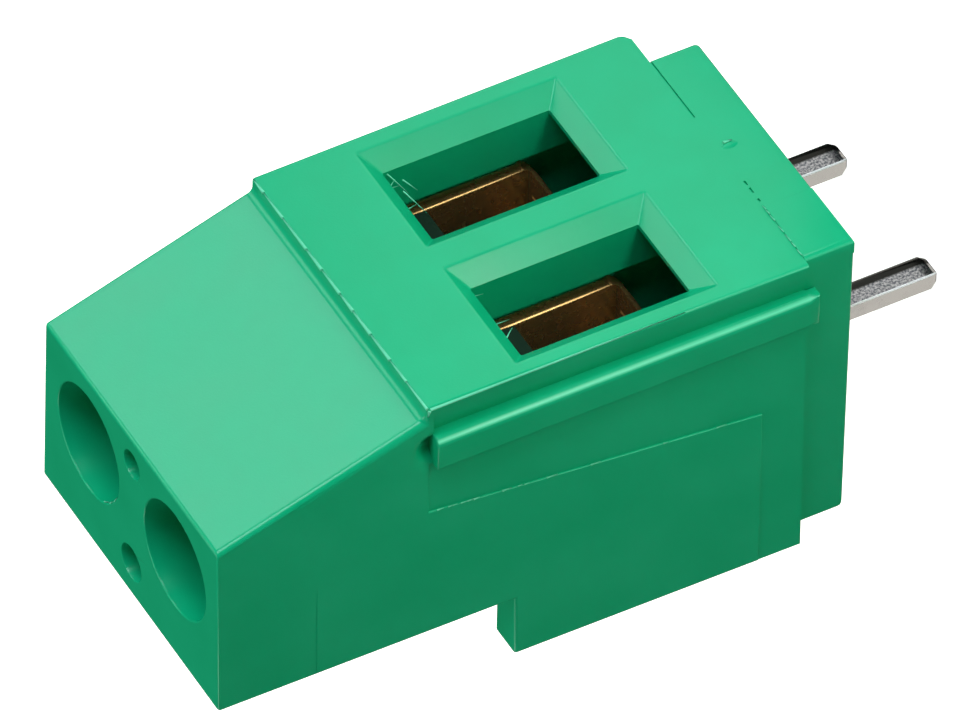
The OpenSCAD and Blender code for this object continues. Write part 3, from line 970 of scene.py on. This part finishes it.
def build_screw(x):
    """Cheese-head screw with a rolled thread and a driver slot."""
    screw = add_rod("screw_head", HEAD_RADIUS, (x, 0, HEAD_FOOT_Z),
                    HEAD_TOP_Z - HEAD_FOOT_Z)
    pick_faces(screw, lambda c, n: n.z < -0.9)
    bpy.ops.mesh.inset(thickness=HEAD_RADIUS - SHANK_RADIUS, depth=0)
    bpy.ops.mesh.extrude_region_move(
        TRANSFORM_OT_translate={"value": (0, 0, SHANK_END_Z - HEAD_FOOT_Z)})
    close_mesh()
    soften(screw, 0.2, lambda a, b: min(a.z, b.z) > HEAD_TOP_Z - 0.1, 4)
    soften(screw, 0.06, lambda a, b: abs(a.z - HEAD_FOOT_Z) < 0.01
           and not is_within(a, x, 0, 1.5), 3)
    soften(screw, 0.18, lambda a, b: max(a.z, b.z) < SHANK_END_Z + 0.07, 3)
    slot = add_block("driver_slot", (x - SLOT_HALF, -3, 15.1), (x + SLOT_HALF, 3, 18))
    soften(slot, 0.08, lambda a, b: max(a.z, b.z) < 15.2, 3)
    carve(screw, slot)
    soften(screw, 0.03, lambda a, b: abs(abs(a.x - x) - SLOT_HALF) < 0.02
           and abs(abs(b.x - x) - SLOT_HALF) < 0.02 and min(a.z, b.z) > HEAD_TOP_Z - 0.1, 2)
    weld_on(screw, screw_thread(x))
    return screw


def screw_thread(x):
    """Helical ridge, closed at both ends, sunk a little into the core."""
    deselect_all()
    bpy.ops.mesh.primitive_plane_add(size=1, location=(0, 0, 0))
    ridge = bpy.context.object
    ridge.name = "screw_thread"
    ridge.rotation_euler = (math.radians(90), 0, 0)
    ridge.scale = (0.3, 0.42, 1)
    bpy.ops.object.transform_apply(location=True, rotation=True, scale=True)
    narrow_profile(ridge)
    make_active(ridge)
    ridge.location = (1.3, 0, 9.6)
    bpy.ops.object.transform_apply(location=True, rotation=False, scale=False)
    turn = ridge.modifiers.new("turn", "SCREW")
    turn.axis = "Z"
    turn.angle = math.radians(360)
    turn.screw_offset = 0.5
    turn.iterations = 8
    turn.steps = turn.render_steps = 40
    turn.use_merge_vertices = False
    bpy.ops.object.modifier_apply(modifier=turn.name)
    bpy.ops.object.mode_set(mode="EDIT")
    bpy.ops.mesh.select_all(action="SELECT")
    bpy.ops.mesh.fill_holes(sides=8)
    bpy.ops.mesh.select_all(action="SELECT")
    bpy.ops.mesh.normals_make_consistent(inside=False)
    close_mesh()
    ridge.location = (x, 0, 0)
    bpy.ops.object.transform_apply(location=True, rotation=False, scale=False)
    return ridge


def narrow_profile(ridge):
    """Narrows the outer edge of the ridge's profile and drops its face."""
    mesh = open_mesh(ridge, "VERT")
    for vertex in mesh.verts:
        vertex.select_set(vertex.co.x > 0)
    bmesh.update_edit_mesh(ridge.data)
    bpy.ops.transform.resize(value=(1, 1, 0.2))
    bpy.ops.mesh.select_mode(type="FACE")
    bpy.ops.mesh.select_all(action="SELECT")
    bpy.ops.mesh.delete(type="ONLY_FACE")
    close_mesh()


def build_sleeve(x):
    """Box sleeve bent from strip, with round lower corners and a thick threaded top."""
    sleeve = add_block("sleeve", (x - SLEEVE_HALF, SLEEVE_FRONT_Y, 4.95),
                       (x + SLEEVE_HALF, SLEEVE_REAR_Y, 10.5))
    soften(sleeve, 0.6, lambda a, b: max(a.z, b.z) < 5, 8)
    opening = add_block("wire_opening", (x - 1.5, -3, SLEEVE_FLOOR_Z), (x + 1.5, 3, 9.33))
    soften(opening, 0.06, lambda a, b: max(a.z, b.z) < SLEEVE_FLOOR_Z + 0.1, 3)
    carve(sleeve, opening, add_rod("thread_hole", 1.5, (x, 0, 8), 4))
    for y in (-1.6, -0.9, -0.2, 0.5, 1.2):
        carve(sleeve, floor_tooth(x, y))
    soften(sleeve, 0.2, lambda a, b: abs(a.y - b.y) < 0.01
           and (a.y < SLEEVE_FRONT_Y + 0.02 or a.y > SLEEVE_REAR_Y - 0.01), 4)
    return sleeve


def floor_tooth(x, y):
    """Small V cut across the floor that grips the wire."""
    low_z = SLEEVE_FLOOR_Z - 0.1
    tooth = add_block("floor_tooth", (x - 1.3, y - 0.1, low_z), (x + 1.3, y + 0.1, low_z + 0.2))
    pick_edges(tooth, lambda a, b: max(a.z, b.z) < SLEEVE_FLOOR_Z, 0)
    bpy.ops.transform.resize(value=(1, 0.05, 1), center_override=(x, y, low_z))
    close_mesh()
    return tooth


def build_contact(x):
    """One strip: bar, two bends, foot and solder pin."""
    bar_foot_z = BAR_TOP_Z - STRIP_THICKNESS
    upper_bend_z = bar_foot_z - BEND_RADIUS
    strip = add_block("contact_strip", (x - STRIP_HALF, -2.62, bar_foot_z),
                      (x + STRIP_HALF, BAR_END_Y, BAR_TOP_Z))
    pick_faces(strip, lambda c, n: n.y > 0.9)
    bend_strip(x, upper_bend_z)
    bpy.ops.mesh.extrude_region_move(
        TRANSFORM_OT_translate={"value": (0, 0, LOWER_BEND_Z - upper_bend_z)})
    bend_strip(x, LOWER_BEND_Z)
    bpy.ops.mesh.extrude_region_move(TRANSFORM_OT_translate={"value": (0, -2.15, 0)})
    close_mesh()
    soften(strip, 0.06, lambda a, b: not (max(a.z, b.z) < 3.4 and a.y < 0 and b.y < 0), 2, 60)
    weld_on(strip, solder_pin(x))
    return strip


def bend_strip(x, height):
    """Carries the selected end of the strip round a quarter bend."""
    bpy.ops.mesh.spin(steps=10, angle=math.pi / 2, center=(x, BAR_END_Y, height),
                      axis=(1, 0, 0))


def solder_pin(x):
    """Sheared pin with one rolled-over edge and a blunt tip."""
    tip = 0.22
    pin = add_block("solder_pin", (x - PIN_HALF_X, -PIN_HALF_Y, PIN_TIP_Z + tip),
                    (x + PIN_HALF_X, PIN_HALF_Y, 3.2))
    soften(pin, 0.34, lambda a, b: min(a.x, b.x) > x + PIN_HALF_X - 0.1
           and max(a.y, b.y) < -PIN_HALF_Y + 0.1 and abs(a.z - b.z) > 1, 8)
    soften(pin, 0.06, lambda a, b: abs(a.z - b.z) > 1, 3, 60)
    pick_faces(pin, lambda c, n: n.z < -0.9)
    bpy.ops.mesh.extrude_region_move(TRANSFORM_OT_translate={"value": (0, 0, -tip)})
    bpy.ops.transform.resize(value=(0.76, 0.6, 1), center_override=(x, 0, PIN_TIP_Z))
    close_mesh()
    soften(pin, 0.03, lambda a, b: max(a.z, b.z) < PIN_TIP_Z + 0.1, 2)
    return pin


# ---------------------------------------------------------------- scene

set_up_camera()
set_up_floor()
set_up_lights()

grain = fine_grain_group()
green = moulded_green(grain, "moulded_green", (0.002, 0.40, 0.17), (0.004, 0.43, 0.19), 0.22)
# Pale green for the slivers, paler than the moulding and nearly without shine: a painted highlight
# on the flash and along the edges the slivers line.
flash_highlight_green = moulded_green(grain, "pale_flash_and_painted_highlight", (0.10, 0.60, 0.34), (0.16, 0.68, 0.42), 0.03)
nickel = plated_metal(grain, "nickel_plate", (0.54, 0.32, 0.11), (0.58, 0.35, 0.13),
                      0.25, 0.29, 0.12, 0.02, metal=0.85)
tin = tinned_strip(grain)
zinc = plated_metal(grain, "zinc_plate", (0.58, 0.58, 0.57), (0.70, 0.69, 0.66),
                    0.2, 0.32, 0.2, 0.1)

finish_piece(build_housing(), "housing_moulding", green, "block", "housing")
finish_piece(build_base(), "base_moulding", green, "block", "base")
finish_piece(build_flash_and_highlights(), "flash_and_highlight_pieces", flash_highlight_green, "block")

first_pole = [build(POLES["1"]) for build in (build_screw, build_sleeve, build_contact)]
second_pole = [copy_of(piece, (PITCH, 0, 0)) for piece in first_pole]
for pole, (screw, sleeve, contact) in (("1", first_pole), ("2", second_pole)):
    finish_piece(screw, "clamp_screw_" + pole, zinc,
                 f"screw_{pole}_body", "screw_" + pole)
    finish_piece(sleeve, "clamp_sleeve_" + pole, nickel,
                 f"sleeve_{pole}_body", "sleeve_" + pole)
    finish_piece(contact, "contact_strip_" + pole, tin,
                 "block", "contact_" + pole)
